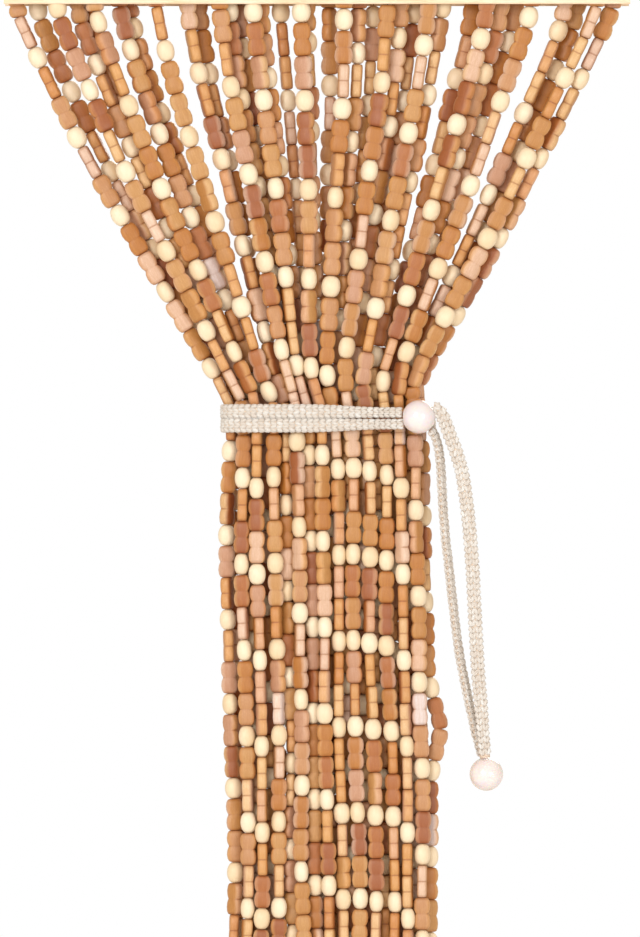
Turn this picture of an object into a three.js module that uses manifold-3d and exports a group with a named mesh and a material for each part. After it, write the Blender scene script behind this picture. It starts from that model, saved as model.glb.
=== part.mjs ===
// Bead curtain on a wooden headrail, gathered by a doubled cord with a pearl slider and two tails.
// Millimetres, +Z up. The origin is the middle of the rail's top face and the front faces -Y.

import * as THREE from "three";
import { mergeVertices } from "three/addons/utils/BufferGeometryUtils.js";
import Module from "manifold-3d";

const wasm = await Module();
wasm.setup();

// Clearance between pieces that touch.
const SEAT = 0.3;

// Headrail: a batten with a channel along its underside. The string strip is pinned in the
// channel and holds every string, so the rail's lips cover the tops of the first beads.
const RAIL = { length: 450, depth: 32, height: 20, edge: 1.5, lip: 2.5, channel: 10 };
const STRIP = { length: 442, depth: 26.4, thickness: 1.8 };
const STRIP_TOP = RAIL.channel - RAIL.height - SEAT;
const STRIP_BOTTOM = STRIP_TOP - STRIP.thickness;

// Strands: every strand is as long as the next, so the outer ones end higher than the middle ones.
// The length is the stretch below the rail's lips.
const STRAND = { width: 10.8, depth: 8.2, length: 1223, root: 0.9 };
const ROW_PITCH = { rail: 9, bundle: 11 };

// Where the strings leave the rail, in clusters of evenly spaced strands, left to right.
const CLUSTERS = [
  { from: -218, to: -174, strands: 4 },
  { from: -168, to: -161, strands: 2 },
  { from: -143, to: -136, strands: 2 },
  { from: -116, to: -116, strands: 1 },
  { from: -94, to: -86, strands: 2 },
  { from: -71, to: -7, strands: 8 },
  { from: 9, to: 30, strands: 3 },
  { from: 41, to: 91, strands: 6 },
  { from: 113, to: 155, strands: 5 },
  { from: 181, to: 181, strands: 1 },
  { from: 190, to: 214, strands: 3 },
];

// Rows in depth, front to back, taken in turn from left to right: middle, back, front.
const ROW_ORDER = [0, 1, -1];

// The bundle's layout by depth below the rail: half the pitch of a row, and the bundle's middle.
const BUNDLE = [
  { depth: 272, halfPitch: 5.9, middle: 1.5 },
  { depth: 286, halfPitch: 5.6, middle: 8 },
  { depth: 309, halfPitch: 5.6, middle: 8 },
  { depth: 334, halfPitch: 6, middle: 10 },
  { depth: 472, halfPitch: 6, middle: 11 },
  { depth: 497, halfPitch: 6, middle: 11.2 },
  { depth: 520, halfPitch: 6, middle: 11.5 },
  { depth: 542, halfPitch: 6, middle: 11.8 },
  { depth: 567, halfPitch: 6, middle: 12 },
  { depth: 642, halfPitch: 6, middle: 13 },
  { depth: 902, halfPitch: 6, middle: 13 },
];

// The fan's own sections, as shares of the way from the rail to the bundle, and its slight bow.
const FAN = { shares: [0, 0.35, 0.7], bow: 1.1 };

// One strand has sprung out of the bundle's right side.
const STRAY = { reach: 7, depth: 520, spread: 24 };

// Doubled tie cord round the bundle: a rounded oval in plan, and the cord's half sizes.
const TIE = { z: -317.7, middle: 8, halfWidth: 75.4, halfDepth: 23.2, power: 4 };
const CORD = { halfWidth: 5.1, atPearl: 3.7, halfThickness: 2.2, apart: 0.3, squeeze: [25, 80] };
const CORD_SIDES = 10;
const TIE_STEPS = 64;

// Pearls: the slider in front of the bundle's right side, and the one that ends both tails.
const PEARL_RADIUS = 12;
const SLIDER = new THREE.Vector3(73, -30, -316.7);
const END_PEARL = new THREE.Vector3(121.4, -28, -572.8);

// Tails: the cord lies flat to the front in the right one and shows its edge in the left one.
const TAIL = { width: 9, thickness: 5, steps: 18 };
const RIGHT_TAIL = [
  [73, -30, -316.7],
  [79, -31, -311.5],
  [84.5, -31.4, -310.6],
  [89, -31.6, -314.5],
  [92, -31.6, -321],
  [95.2, -31.6, -330],
  [98.6, -31.6, -338.5],
  [101.3, -31.6, -347],
  [104, -31.6, -357],
  [106.6, -31.6, -374],
  [108.6, -31.6, -391],
  [110.2, -31.6, -408.5],
  [111.5, -31.6, -426],
  [112.4, -31.6, -444],
  [113.3, -31.6, -462],
  [114.3, -31.6, -480],
  [115.3, -31.6, -497],
  [116.5, -31.6, -513],
  [118, -31.6, -530],
  [119.2, -31.6, -546],
  [120.4, -31.4, -558],
  [121.4, -31.2, -571],
];
const LEFT_TAIL = [
  [73, -30, -316.7],
  [78.5, -28.4, -322.3],
  [83.6, -26.6, -328.5],
  [86.4, -25.2, -336],
  [88, -24.4, -345],
  [89, -24.3, -355],
  [89.8, -24.3, -371],
  [91, -24.3, -390],
  [93, -24.3, -411],
  [95.6, -24.3, -433],
  [98.2, -24.3, -456],
  [101, -24.3, -479],
  [103.6, -24.3, -495],
  [106.6, -24.3, -510],
  [109.6, -24.3, -524],
  [112.4, -24.3, -537],
  [115.4, -24.3, -549],
  [118.2, -24.2, -559],
  [121.4, -24.1, -571],
];

const part = new THREE.Group();

function finish(colour, roughness) {
  return new THREE.MeshStandardMaterial({ color: colour, roughness, metalness: 0 });
}

function add(name, geometry, material) {
  const mesh = new THREE.Mesh(geometry, material);
  mesh.name = name;
  part.add(mesh);
}

function toSolid(geometry) {
  const bare = geometry.clone();
  bare.deleteAttribute("normal");
  bare.deleteAttribute("uv");
  const merged = mergeVertices(bare, 1e-4);
  return new wasm.Manifold(
    new wasm.Mesh({
      numProp: 3,
      vertProperties: new Float32Array(merged.attributes.position.array),
      triVerts: new Uint32Array(merged.index.array),
    }),
  );
}

function toGeometry(solid) {
  const mesh = solid.getMesh();
  const geometry = new THREE.BufferGeometry();
  geometry.setAttribute("position", new THREE.BufferAttribute(mesh.vertProperties, 3));
  geometry.setIndex(new THREE.BufferAttribute(mesh.triVerts, 1));
  return geometry;
}

// Headrail, a grooved batten with softened edges, drawn in section and drawn out along its length.
function railGeometry() {
  const halfDepth = RAIL.depth / 2;
  const halfHeight = RAIL.height / 2;
  const wall = halfDepth - RAIL.lip;
  const ceiling = RAIL.channel - halfHeight;
  const section = new THREE.Shape();
  section.moveTo(wall, ceiling);
  section.lineTo(wall, -halfHeight);
  section.lineTo(halfDepth - RAIL.edge / 2, -halfHeight);
  section.lineTo(halfDepth, -halfHeight + RAIL.edge / 2);
  section.lineTo(halfDepth, halfHeight - RAIL.edge);
  section.lineTo(halfDepth - RAIL.edge, halfHeight);
  section.lineTo(-halfDepth + RAIL.edge, halfHeight);
  section.lineTo(-halfDepth, halfHeight - RAIL.edge);
  section.lineTo(-halfDepth, -halfHeight + RAIL.edge / 2);
  section.lineTo(-halfDepth + RAIL.edge / 2, -halfHeight);
  section.lineTo(-wall, -halfHeight);
  section.lineTo(-wall, ceiling);
  section.closePath();
  const batten = new THREE.ExtrudeGeometry(section, { depth: RAIL.length, bevelEnabled: false });
  batten.rotateX(Math.PI / 2);
  batten.rotateZ(Math.PI / 2);
  batten.translate(-RAIL.length / 2, 0, -halfHeight);
  return batten;
}

// Each strand's place under the rail, its row and its half column in the bundle.
function strandPlaces() {
  const places = [];
  for (const cluster of CLUSTERS) {
    for (let i = 0; i < cluster.strands; i++) {
      const share = cluster.strands > 1 ? i / (cluster.strands - 1) : 0;
      places.push({ railX: THREE.MathUtils.lerp(cluster.from, cluster.to, share) });
    }
  }
  const middleColumn = (places.length - 1) / 3;
  places.forEach((place, i) => {
    place.row = ROW_ORDER[i % 3];
    place.column = 2 * Math.floor(i / 3) + (i % 3 > 0 ? 1 : 0) - middleColumn;
  });
  return places;
}

// The middles of one strand's sections, from its root in the strip to its last bead.
// It hangs plumb inside the channel and slants from the rail's lips on.
function strandSections(place, isStray) {
  const top = BUNDLE[0];
  const gatherX = top.middle + place.column * top.halfPitch;
  const rowAtRail = place.row * ROW_PITCH.rail;
  const rowInBundle = place.row * ROW_PITCH.bundle;
  const sections = [new THREE.Vector3(place.railX, rowAtRail, STRIP_BOTTOM + STRAND.root)];
  for (const share of FAN.shares) {
    const x = THREE.MathUtils.lerp(place.railX, gatherX, share ** FAN.bow);
    const y = THREE.MathUtils.lerp(rowAtRail, rowInBundle, share);
    sections.push(new THREE.Vector3(x, y, -RAIL.height - share * top.depth));
  }
  for (const level of BUNDLE) {
    const sprung = Math.exp(-(((level.depth - STRAY.depth) / STRAY.spread) ** 2));
    const x = level.middle + place.column * level.halfPitch + (isStray ? STRAY.reach * sprung : 0);
    sections.push(new THREE.Vector3(x, rowInBundle, -RAIL.height - level.depth));
  }
  let used = 0;
  for (let i = 2; i < sections.length; i++) {
    used += sections[i].distanceTo(sections[i - 1]);
  }
  const last = sections[sections.length - 1];
  sections.push(new THREE.Vector3(last.x, last.y, last.z - (STRAND.length - used)));
  return sections;
}

// One strand: a four-sided bar whose sections are moved onto the strand's middles.
function strandGeometry(sections) {
  const steps = sections.length - 1;
  const bar = new THREE.BoxGeometry(STRAND.width, STRAND.depth, 1, 1, 1, steps);
  const corners = bar.attributes.position;
  for (let i = 0; i < corners.count; i++) {
    const middle = sections[Math.round((0.5 - corners.getZ(i)) * steps)];
    corners.setXYZ(i, corners.getX(i) + middle.x, corners.getY(i) + middle.y, middle.z);
  }
  return bar;
}

function strandsGeometry() {
  const strip = new THREE.BoxGeometry(STRIP.length, STRIP.depth, STRIP.thickness);
  strip.translate(0, 0, STRIP_BOTTOM + STRIP.thickness / 2);
  let all = toSolid(strip);
  const places = strandPlaces();
  places.forEach((place, i) => {
    const isStray = i === places.length - 1;
    all = all.add(toSolid(strandGeometry(strandSections(place, isStray))));
  });
  return toGeometry(all);
}

// A pearl, or the room that the cords leave round it when grown by the seat.
function pearlGeometry(centre, grow) {
  const ball = new THREE.SphereGeometry(PEARL_RADIUS + grow, 24, 16);
  ball.rotateX(Math.PI / 2);
  ball.translate(centre.x, centre.y, centre.z);
  return ball;
}

// A closed oval rod laid along a curve. halfWidth gives its half width at each share of the curve.
function rodAlong(curve, steps, halfWidth) {
  const rod = new THREE.CylinderGeometry(1, 1, 1, CORD_SIDES, steps);
  const frames = curve.computeFrenetFrames(steps);
  const corners = rod.attributes.position;
  for (let i = 0; i < corners.count; i++) {
    const step = Math.round((0.5 - corners.getY(i)) * steps);
    const corner = curve.getPointAt(step / steps);
    corner.addScaledVector(frames.normals[step], corners.getX(i) * halfWidth(corner));
    corner.addScaledVector(frames.binormals[step], corners.getZ(i) * CORD.halfThickness);
    corners.setXYZ(i, corner.x, corner.y, corner.z);
  }
  return rod;
}

// The cord is squeezed narrower as it nears the pearl.
function cordHalfWidth(point) {
  const away = Math.hypot(point.x - SLIDER.x, point.y - SLIDER.y);
  const share = THREE.MathUtils.smoothstep(away, ...CORD.squeeze);
  return THREE.MathUtils.lerp(CORD.atPearl, CORD.halfWidth, share);
}

// One of the tie's two runs, from the pearl across the front, round the back and to the pearl.
function tieRun(side) {
  const start = Math.PI * 1.573;
  const turn = -Math.PI * 1.659;
  const points = [];
  const rise = (point) => {
    point.z = TIE.z + side * (cordHalfWidth(point) + CORD.apart);
    return point;
  };
  points.push(rise(SLIDER.clone()));
  points.push(rise(new THREE.Vector3(SLIDER.x - PEARL_RADIUS - 5, SLIDER.y + 1.5, 0)));
  for (let i = 0; i <= 40; i++) {
    const angle = start + (turn * i) / 40;
    const across = Math.cos(angle);
    const along = Math.sin(angle);
    const x = TIE.middle + TIE.halfWidth * Math.sign(across) * Math.abs(across) ** (2 / TIE.power);
    const y = TIE.halfDepth * Math.sign(along) * Math.abs(along) ** (2 / TIE.power);
    points.push(rise(new THREE.Vector3(x, y, 0)));
  }
  points.push(rise(SLIDER.clone()));
  const curve = new THREE.CatmullRomCurve3(points, false, "centripetal");
  const rod = toSolid(rodAlong(curve, TIE_STEPS, cordHalfWidth));
  return toGeometry(rod.subtract(toSolid(pearlGeometry(SLIDER, SEAT))));
}

// A tail of flat cord: across is its size seen from the front, deep its size from front to back.
function tailGeometry(route, across, deep) {
  const outline = new THREE.Shape();
  for (let i = 0; i < CORD_SIDES; i++) {
    const angle = (2 * Math.PI * i) / CORD_SIDES;
    const x = (Math.cos(angle) * deep) / 2;
    const y = (Math.sin(angle) * across) / 2;
    if (i === 0) {
      outline.moveTo(x, y);
    } else {
      outline.lineTo(x, y);
    }
  }
  outline.closePath();
  const points = route.map((point) => new THREE.Vector3(...point));
  const path = new THREE.CatmullRomCurve3(points, false, "centripetal");
  const tube = new THREE.ExtrudeGeometry(outline, { steps: TAIL.steps, extrudePath: path });
  const cut = toSolid(tube)
    .subtract(toSolid(pearlGeometry(SLIDER, SEAT)))
    .subtract(toSolid(pearlGeometry(END_PEARL, SEAT)));
  return toGeometry(cut);
}

const paleWood = finish(0xf6e2c4, 0.6);
const beadWood = finish(0xb87848, 0.55);
const knitCord = finish(0xe6d8ca, 0.75);
const pearlCoat = finish(0xf4ecec, 0.2);

add("rail", railGeometry(), paleWood);
add("strands", strandsGeometry(), beadWood);
add("tie_upper", tieRun(1), knitCord);
add("tie_lower", tieRun(-1), knitCord);
add("slider_pearl", pearlGeometry(SLIDER, 0), pearlCoat);
add("tail_right", tailGeometry(RIGHT_TAIL, TAIL.width, TAIL.thickness), knitCord);
add("tail_left", tailGeometry(LEFT_TAIL, TAIL.thickness, TAIL.width), knitCord);
add("end_pearl", pearlGeometry(END_PEARL, 0), pearlCoat);

export default part;
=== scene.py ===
"""Bead curtain on a grooved rail, gathered by a doubled knitted cord with a pearl slider.

The frame is the row's own: metres, +Z up, the origin in the middle of the rail's top face and the
front facing -Y. Sizes in the tables are in millimetres and are turned into metres at the mesh.
"""

import math
import random

import bpy
import numpy as np
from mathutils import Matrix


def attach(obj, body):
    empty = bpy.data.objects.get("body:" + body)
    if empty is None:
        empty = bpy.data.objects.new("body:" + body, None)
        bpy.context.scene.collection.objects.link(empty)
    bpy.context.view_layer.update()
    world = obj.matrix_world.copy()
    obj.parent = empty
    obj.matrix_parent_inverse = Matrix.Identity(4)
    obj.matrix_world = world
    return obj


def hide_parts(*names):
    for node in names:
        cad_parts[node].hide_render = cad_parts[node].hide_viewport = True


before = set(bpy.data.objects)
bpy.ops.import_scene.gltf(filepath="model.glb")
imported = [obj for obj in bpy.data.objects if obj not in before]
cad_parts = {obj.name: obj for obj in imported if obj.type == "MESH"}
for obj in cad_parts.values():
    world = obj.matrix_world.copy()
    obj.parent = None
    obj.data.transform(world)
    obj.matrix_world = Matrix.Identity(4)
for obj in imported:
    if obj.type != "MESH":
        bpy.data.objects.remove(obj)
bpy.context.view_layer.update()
MM = 0.001
scene = bpy.context.scene

# The picture: millimetres in a pixel, its size, the curtain's middle column, the row of the rail's edge.
PIXEL = 0.72
IMAGE = (640, 937)
AXIS_COLUMN = 317
EDGE_ROW = 5
# The height of the rail's lower edge, and the camera's distance in metres and its sensor.
RAIL_EDGE = -20.0
DISTANCE = 6.5
SENSOR = 36.0


# Camera
def make_camera():
    data = bpy.data.cameras.new("camera")
    data.sensor_width = SENSOR
    data.lens = SENSOR * DISTANCE / (IMAGE[1] * PIXEL * MM)
    data.clip_start = 0.05
    data.clip_end = 80.0
    camera = bpy.data.objects.new("camera", data)
    scene.collection.objects.link(camera)
    across = (IMAGE[0] / 2 - AXIS_COLUMN) * PIXEL
    down = RAIL_EDGE - (IMAGE[1] / 2 - EDGE_ROW) * PIXEL
    camera.location = (across * MM, -DISTANCE, down * MM)
    camera.rotation_euler = (math.pi / 2, 0, 0)
    scene.camera = camera


make_camera()

# Mesh tools
UV_MAP = "OFBake"
# The share of a turned form's map that each tip takes.
TIP_MAP = 0.12


def build_mesh(name, verts, faces, materials, uvs=None, slots=None, **attributes):
    """A smooth mesh object. verts are millimetres, faces a list of (count, corners) index arrays."""
    mesh = bpy.data.meshes.new(name)
    sizes = np.concatenate([np.full(len(f), f.shape[1]) for f in faces]).astype(np.int32)
    corners = np.concatenate([f.ravel() for f in faces]).astype(np.int32)
    mesh.vertices.add(len(verts))
    mesh.vertices.foreach_set("co", (np.asarray(verts, np.float32) * MM).ravel())
    mesh.loops.add(len(corners))
    mesh.loops.foreach_set("vertex_index", corners)
    mesh.polygons.add(len(sizes))
    mesh.polygons.foreach_set("loop_start", np.concatenate([[0], np.cumsum(sizes)[:-1]]).astype(np.int32))
    if slots is not None:
        mesh.polygons.foreach_set("material_index", np.asarray(slots, np.int32))
    mesh.update(calc_edges=True)
    mesh.polygons.foreach_set("use_smooth", np.ones(len(sizes), bool))
    if uvs is not None:
        layer = mesh.uv_layers.new(name=UV_MAP)
        layer.data.foreach_set("uv", np.asarray(uvs, np.float32).ravel())
    for key, values in attributes.items():
        values = np.asarray(values, np.float32)
        kind, field = ("FLOAT", "value") if values.ndim == 1 else ("FLOAT_VECTOR", "vector")
        mesh.attributes.new(key, kind, "POINT").data.foreach_set(field, values.ravel())
    mesh.validate()
    for made in materials:
        mesh.materials.append(made)
    piece = bpy.data.objects.new(name, mesh)
    scene.collection.objects.link(piece)
    return piece


def unit(v):
    return v / np.maximum(np.linalg.norm(v, axis=-1, keepdims=True), 1e-12)


def ring_quads(rings, sides):
    """Faces between rings of points that follow each other, ring by ring and side by side."""
    faces = []
    for r in range(rings - 1):
        for s in range(sides):
            t = (s + 1) % sides
            faces.append((r * sides + s, r * sides + t, (r + 1) * sides + t, (r + 1) * sides + s))
    return np.array(faces)


def barrel(rings, sides):
    """Faces and corner map of a closed turned form: quads between its rings, then a fan at each tip."""
    quad_uv = []
    for r in range(rings - 1):
        low, high = (inset(k / (rings - 1), TIP_MAP) for k in (r, r + 1))
        for s in range(sides):
            left, right = s / sides, (s + 1) / sides
            quad_uv += [(left, low), (right, low), (right, high), (left, high)]
    tris, tri_uv = [], []
    for tip, last, edge, turn in ((0, 0, TIP_MAP, 1), (1, (rings - 1) * sides, 1 - TIP_MAP, 0)):
        for s in range(sides):
            first, second = s + turn, s + 1 - turn
            tris.append((rings * sides + tip, last + first % sides, last + second % sides))
            tri_uv += [((s + 0.5) / sides, tip), (first / sides, edge), (second / sides, edge)]
    return ring_quads(rings, sides), np.array(tris), np.array(quad_uv), np.array(tri_uv)


def inset(uv, margin):
    """Map corners drawn in from the edge of their cell."""
    return margin + (1 - 2 * margin) * uv


def cells(count):
    """Origins and size of a square grid of map cells, one for each of count islands."""
    side = math.ceil(math.sqrt(count))
    index = np.arange(count)
    return np.stack([index % side, index // side], 1) / side, 1.0 / side


def lengths(line):
    return np.concatenate([[0], np.cumsum(np.linalg.norm(np.diff(line, axis=0), axis=1))])


def resample(line, step):
    along = lengths(line)
    count = max(3, int(round(along[-1] / step)) + 1)
    where = np.linspace(0, along[-1], count)
    return np.stack([np.interp(where, along, line[:, k]) for k in range(3)], 1)


def blend(first, second, low, high, t):
    """The straight blend from first at low to second at high."""
    return (high - t) / (high - low) * first + (t - low) / (high - low) * second


def smooth_line(points, step):
    """A smooth curve through the points, with a point about every step."""
    p = np.asarray(points, float)
    p = np.vstack([2 * p[0] - p[1], p, 2 * p[-1] - p[-2]])
    out = []
    for a, b, c, d in zip(p, p[1:], p[2:], p[3:]):
        gaps = [max(np.linalg.norm(end - start), 1e-6) ** 0.5 for start, end in ((a, b), (b, c), (c, d))]
        t0, t1, t2, t3 = np.concatenate([[0.0], np.cumsum(gaps)])
        count = max(2, int(np.linalg.norm(c - b) / (step * 0.25)))
        t = np.linspace(t1, t2, count, endpoint=False)[:, None]
        middle = blend(b, c, t1, t2, t)
        before = blend(blend(a, b, t0, t1, t), middle, t0, t2, t)
        after = blend(middle, blend(c, d, t2, t3, t), t1, t3, t)
        out.append(blend(before, after, t1, t2, t))
    out.append(p[-2][None])
    return resample(np.vstack(out), step)


def belongs(piece, node=None):
    """The piece rides on the one body and, where a node is given, replaces its solid."""
    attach(piece, "root")
    if node:
        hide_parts(node)


# Material tools
BUMP_DEPTH = 0.0002


def feed(tree, node, inputs):
    """Each named input of a node: a value, or another node's output socket."""
    for key, value in inputs.items():
        socket = node.inputs[key]
        if isinstance(value, bpy.types.NodeSocket):
            tree.links.new(value, socket)
        else:
            socket.default_value = value


def place_node(tree, kind, inputs, **settings):
    """A shader node with its settings and its inputs."""
    node = tree.nodes.new("ShaderNode" + kind)
    for key, value in settings.items():
        setattr(node, key, value)
    feed(tree, node, inputs)
    return node


def put(tree, kind, inputs, output=0, **settings):
    """One output of such a node, by name or number."""
    return place_node(tree, kind, inputs, **settings).outputs[output]


def srgb(*colour):
    def line(v):
        v /= 255
        return v / 12.92 if v <= 0.04045 else ((v + 0.055) / 1.055) ** 2.4

    return (*(line(v) for v in colour), 1.0)


def tones(*stops):
    """Ramp stops, each given as its place and a colour of three values up to 255."""
    return [(place, srgb(*colour)) for place, *colour in stops]


def ramp(tree, factor, stops, interpolation="LINEAR"):
    node = place_node(tree, "ValToRGB", {"Fac": factor})
    node.color_ramp.interpolation = interpolation
    elements = node.color_ramp.elements
    while len(elements) < len(stops):
        elements.new(0.5)
    for element, (place, colour) in zip(elements, stops):
        element.position = place
        element.color = colour
    return node.outputs[0]


def object_place(tree):
    return put(tree, "TexCoord", {}, "Object")


def attribute(tree, name, output="Fac"):
    return put(tree, "Attribute", {}, output, attribute_name=name)


def noise(tree, where, scale, detail, **more):
    return put(tree, "TexNoise", {"Vector": where, "Scale": scale, "Detail": detail, **more}, "Fac")


def remap(tree, value, to, given=(0.0, 1.0)):
    """The value stretched from the given range to another one."""
    inputs = {"Value": value, "From Min": given[0], "From Max": given[1], "To Min": to[0], "To Max": to[1]}
    return put(tree, "MapRange", inputs)


def combined(tree, operation, first, second):
    return put(tree, "Math", {0: first, 1: second}, operation=operation)


def scaled(tree, vector, share):
    return put(tree, "VectorMath", {0: vector, "Scale": share}, operation="SCALE")


def darkened(tree, share, colour, by):
    return put(tree, "MixRGB", {0: share, 1: colour, 2: by}, blend_type="MULTIPLY")


def mixed(tree, share, first, second):
    return put(tree, "Mix", {0: share, 6: first, 7: second}, 2, data_type="RGBA")


def relief(tree, height, strength):
    return put(tree, "Bump", {"Strength": strength, "Distance": BUMP_DEPTH, "Height": height})


def node_group(name, inputs, outputs):
    """An empty shared effect: the group, the outputs of its entry and the node that it leaves by."""
    group = bpy.data.node_groups.new(name, "ShaderNodeTree")
    for label, kind, *value in inputs:
        socket = group.interface.new_socket(name=label, in_out="INPUT", socket_type="NodeSocket" + kind)
        if value:
            socket.default_value = value[0]
    for label, kind in outputs:
        group.interface.new_socket(name=label, in_out="OUTPUT", socket_type="NodeSocket" + kind)
    entry = group.nodes.new("NodeGroupInput")
    return group, entry.outputs, group.nodes.new("NodeGroupOutput")


# Shared effects
def wood_group():
    """Fine grain along Z of the given place: a light to dark mask, pores, and the bumped normal."""
    group, given, leave = node_group(
        "wood_grain",
        [("Place", "Vector"), ("Scale", "Float", 1.0), ("Bump", "Float", 0.2)],
        [("Grain", "Float"), ("Pores", "Float"), ("Normal", "Vector")],
    )
    along_grain = (1.0, 1.0, 0.12)
    drawn_out = put(group, "VectorMath", {0: given["Place"], 1: along_grain}, operation="MULTIPLY")
    where = scaled(group, drawn_out, given["Scale"])
    bands = noise(group, where, 9.0, 4.0, Roughness=0.6, Distortion=0.4)
    fine = noise(group, where, 55.0, 2.0, Roughness=0.7)
    grain = remap(group, bands, (0.0, 1.0), (0.32, 0.68))
    pores = remap(group, fine, (0.0, 1.0), (0.35, 0.6))
    height = combined(group, "ADD", grain, pores)
    feed(group, leave, {"Grain": grain, "Pores": pores, "Normal": relief(group, height, given["Bump"])})
    return group


def bead_colour_group():
    """The colour of a bead: its wood, a painted sheen on the side walls, painted shade at ends and groove,
    the grain.
    """
    colours = ("Wood", "Rubbed Wood", "Stain Colour", "Grain Colour")
    masks = (("Edge", 0.0), ("Edge Rub", 0.5), ("Stain", 0.0), ("Grain", 0.5), ("Pores", 0.5))
    group, given, leave = node_group(
        "bead_wood_sheen_shade",
        [(label, "Color") for label in colours] + [(label, "Float", value) for label, value in masks],
        [("Colour", "Color")],
    )
    # Painted sheen: the side walls are made paler, as a highlight would make them.
    edge = combined(group, "MULTIPLY", given["Edge"], given["Edge Rub"])
    pale = mixed(group, edge, given["Wood"], given["Rubbed Wood"])
    # Painted shade: the ends, the rims and the gourd's groove are darkened.
    stained = darkened(group, given["Stain"], pale, given["Stain Colour"])
    dark = darkened(group, 1.0, stained, given["Grain Colour"])
    open_grain = combined(group, "MULTIPLY", given["Grain"], given["Pores"])
    feed(group, leave, {"Colour": mixed(group, open_grain, dark, stained)})
    return group


def twist_group():
    """Fine slanted twist of yarn: its shade, its roughness and the bumped normal."""
    group, given, leave = node_group(
        "yarn_twist",
        [("Place", "Vector"), ("Bump", "Float", 0.5)],
        [("Shade", "Float"), ("Roughness", "Float"), ("Normal", "Vector")],
    )
    wave = {"Vector": given["Place"], "Scale": 1.6, "Distortion": 1.2, "Detail": 2.0}
    twist = put(group, "TexWave", wave, "Fac", bands_direction="DIAGONAL")
    shade = remap(group, twist, (0.86, 1.04))
    rough = remap(group, twist, (0.62, 0.42))
    feed(group, leave, {"Shade": shade, "Roughness": rough, "Normal": relief(group, twist, given["Bump"])})
    return group


WOOD = wood_group()
BEAD_COLOUR = bead_colour_group()
TWIST = twist_group()


def place_group(tree, group, inputs):
    """The outputs of the shared effect as a node of this material, with its own values."""
    return place_node(tree, "Group", inputs, node_tree=group).outputs


def material(name, look, **given):
    """A material whose shader is fed what look, a function of its node tree, puts together."""
    made = bpy.data.materials.new(name)
    made.use_nodes = True
    tree = made.node_tree
    feed(tree, tree.nodes["Principled BSDF"], look(tree, **given))
    return made


# Wood of the beads and of the rail
def bead_wood(tree, own, rubbed, edge_rub, stained, rough, coat, grain_colour, scale):
    """Cut, lacquered bead wood: a tone for each bead, its grain, a painted sheen on the side walls, painted
    shade at the ends and in the groove.
    """
    place = attribute(tree, "grain_place", "Vector")
    wood = place_group(tree, WOOD, {"Place": place, "Scale": scale, "Bump": 0.25})
    colour_inputs = {
        "Wood": ramp(tree, attribute(tree, "tone"), own, "CONSTANT"),
        # Painted sheen on the side walls and painted shade at the ends and in the groove, with their colours.
        "Rubbed Wood": ramp(tree, attribute(tree, "rub"), rubbed, "CONSTANT"),
        "Stain Colour": stained,
        "Grain Colour": grain_colour,
        "Edge": attribute(tree, "side"),
        "Edge Rub": edge_rub,
        "Stain": attribute(tree, "stain"),
        "Grain": wood["Grain"],
        "Pores": wood["Pores"],
    }
    return {
        "Base Color": place_group(tree, BEAD_COLOUR, colour_inputs)["Colour"],
        "Roughness": remap(tree, wood["Pores"], (rough + 0.12, rough)),
        "Normal": wood["Normal"],
        "Specular IOR Level": 0.4,
        "Coat Weight": coat,
        "Coat Roughness": 0.35,
    }


# Tones of the gourd beads run from caramel to rose, with a few pale ones.
GOURD_TONES = [
    (0.0, 192, 138, 78), (0.17, 186, 124, 58), (0.34, 200, 152, 96), (0.47, 176, 110, 58),
    (0.59, 198, 148, 104), (0.72, 162, 96, 54), (0.82, 198, 152, 124), (0.93, 222, 188, 164),
    (0.985, 230, 218, 220),
]  # fmt: skip
# Colours of a painted sheen on the gourds' side walls, one picked for each bead.
GOURD_SHEEN = [
    (0.0, 228, 178, 120), (0.3, 240, 206, 158), (0.5, 232, 190, 160), (0.66, 216, 156, 100),
    (0.84, 242, 218, 202),
]  # fmt: skip
# Gourd wood, with a painted sheen on the side walls and a painted shade colour for the ends and groove.
GOURD_WOOD = material(
    "gourd_wood",
    bead_wood,
    own=tones(*GOURD_TONES),
    rubbed=tones(*GOURD_SHEEN),
    edge_rub=0.75,
    stained=(0.55, 0.36, 0.24, 1.0),
    rough=0.38,
    coat=0.2,
    grain_colour=(0.84, 0.75, 0.66, 1.0),
    scale=1.0,
)
# Pale oval wood, with a painted sheen on the side walls and a painted shade colour for the ends.
OVAL_WOOD = material(
    "oval_wood",
    bead_wood,
    own=tones((0.0, 240, 221, 192), (0.35, 243, 228, 203), (0.7, 235, 212, 178)),
    rubbed=tones((0.0, 251, 241, 222), (0.5, 247, 234, 208)),
    edge_rub=0.3,
    stained=(0.80, 0.66, 0.46, 1.0),
    rough=0.36,
    coat=0.3,
    grain_colour=(0.95, 0.92, 0.86, 1.0),
    scale=1.3,
)


def rail_wood(tree):
    quarter_turn = {"Vector": object_place(tree), "Angle": math.pi / 2}
    along_rail = put(tree, "VectorRotate", quarter_turn, rotation_type="Y_AXIS")
    wood = place_group(tree, WOOD, {"Place": scaled(tree, along_rail, 22.0), "Bump": 0.3})
    base = ramp(tree, wood["Grain"], tones((0.0, 236, 206, 168), (0.5, 244, 222, 192), (1.0, 248, 230, 206)))
    return {
        "Base Color": darkened(tree, 0.12, base, wood["Pores"]),
        "Normal": wood["Normal"],
        "Roughness": remap(tree, wood["Pores"], (0.62, 0.48)),
    }


# Yarn, core, pearl and tape
def yarn(tree, stops, bump):
    """Twisted yarn: a tone for each stitch and a fine slanted twist."""
    place = attribute(tree, "grain_place", "Vector")
    twist = place_group(tree, TWIST, {"Place": place, "Bump": bump})
    base = ramp(tree, attribute(tree, "tone"), stops)
    return {
        "Base Color": scaled(tree, base, twist["Shade"]),
        "Normal": twist["Normal"],
        "Roughness": twist["Roughness"],
        "Sheen Weight": 0.3,
    }


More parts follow.
